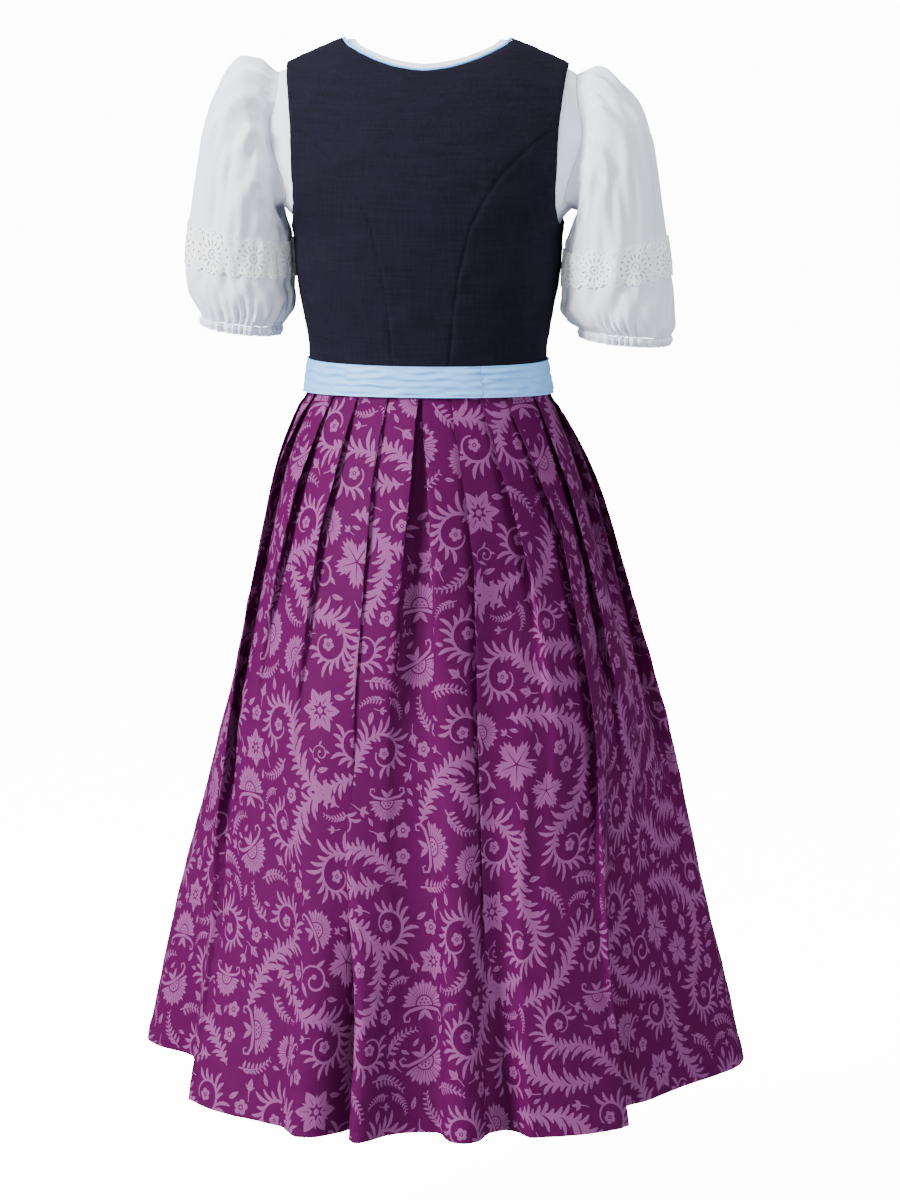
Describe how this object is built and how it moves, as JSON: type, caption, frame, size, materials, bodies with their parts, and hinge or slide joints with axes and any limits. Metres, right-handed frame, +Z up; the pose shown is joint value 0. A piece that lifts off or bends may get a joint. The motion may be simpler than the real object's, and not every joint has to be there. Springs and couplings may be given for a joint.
{
  "type": "dirndl with blouse and apron",
  "caption": "Worn-shape folk dress: dark linen bodice, pleated printed skirt, puff-sleeved blouse with lace bands, and an apron tied in a bow at the front.",
  "frame": {"origin": "midway between the tips of the two shoulders, where the wearer holds the set up", "axes": "+Z up, +Y the way the wearer would face, so the back of the dress faces -Y; +X is the wearer's right"},
  "size_m": [0.6654, 0.6034, 1.1123],
  "materials": {
    "navy_linen": "plain-woven dark linen",
    "magenta_print": "printed cotton",
    "light_blue_satin": "soft satin",
    "white_cotton": "fine plain cotton",
    "white_lace": "cotton lace",
    "pewter": "dull pewter-coloured metal"
  },
  "bodies": {
    "root": {"bodice_back_centre": "navy_linen", "bodice_back_side_left": "navy_linen", "bodice_back_side_right": "navy_linen", "bodice_front_left": "navy_linen", "bodice_front_right": "navy_linen", "bodice_front_side_left": "navy_linen", "bodice_front_side_right": "navy_linen", "skirt_back": "magenta_print", "skirt_left": "magenta_print", "skirt_right": "magenta_print", "apron_panel": "light_blue_satin", "apron_tie_left": "light_blue_satin", "apron_tie_right": "light_blue_satin", "apron_waistband": "light_blue_satin", "bow_knot": "light_blue_satin", "bow_loop_left": "light_blue_satin", "bow_loop_right": "light_blue_satin", "bow_tail_left": "light_blue_satin", "bow_tail_right": "light_blue_satin", "neck_piping": "light_blue_satin", "blouse_back": "white_cotton", "blouse_front": "white_cotton", "blouse_neckband": "white_cotton", "cuff_left": "white_cotton", "cuff_right": "white_cotton", "sleeve_left": "white_cotton", "sleeve_right": "white_cotton", "lace_left": "white_lace", "lace_right": "white_lace", "button_1": "pewter", "button_2": "pewter", "button_3": "pewter", "button_4": "pewter", "button_5": "pewter", "button_6": "pewter"}
  },
  "joints": []
}
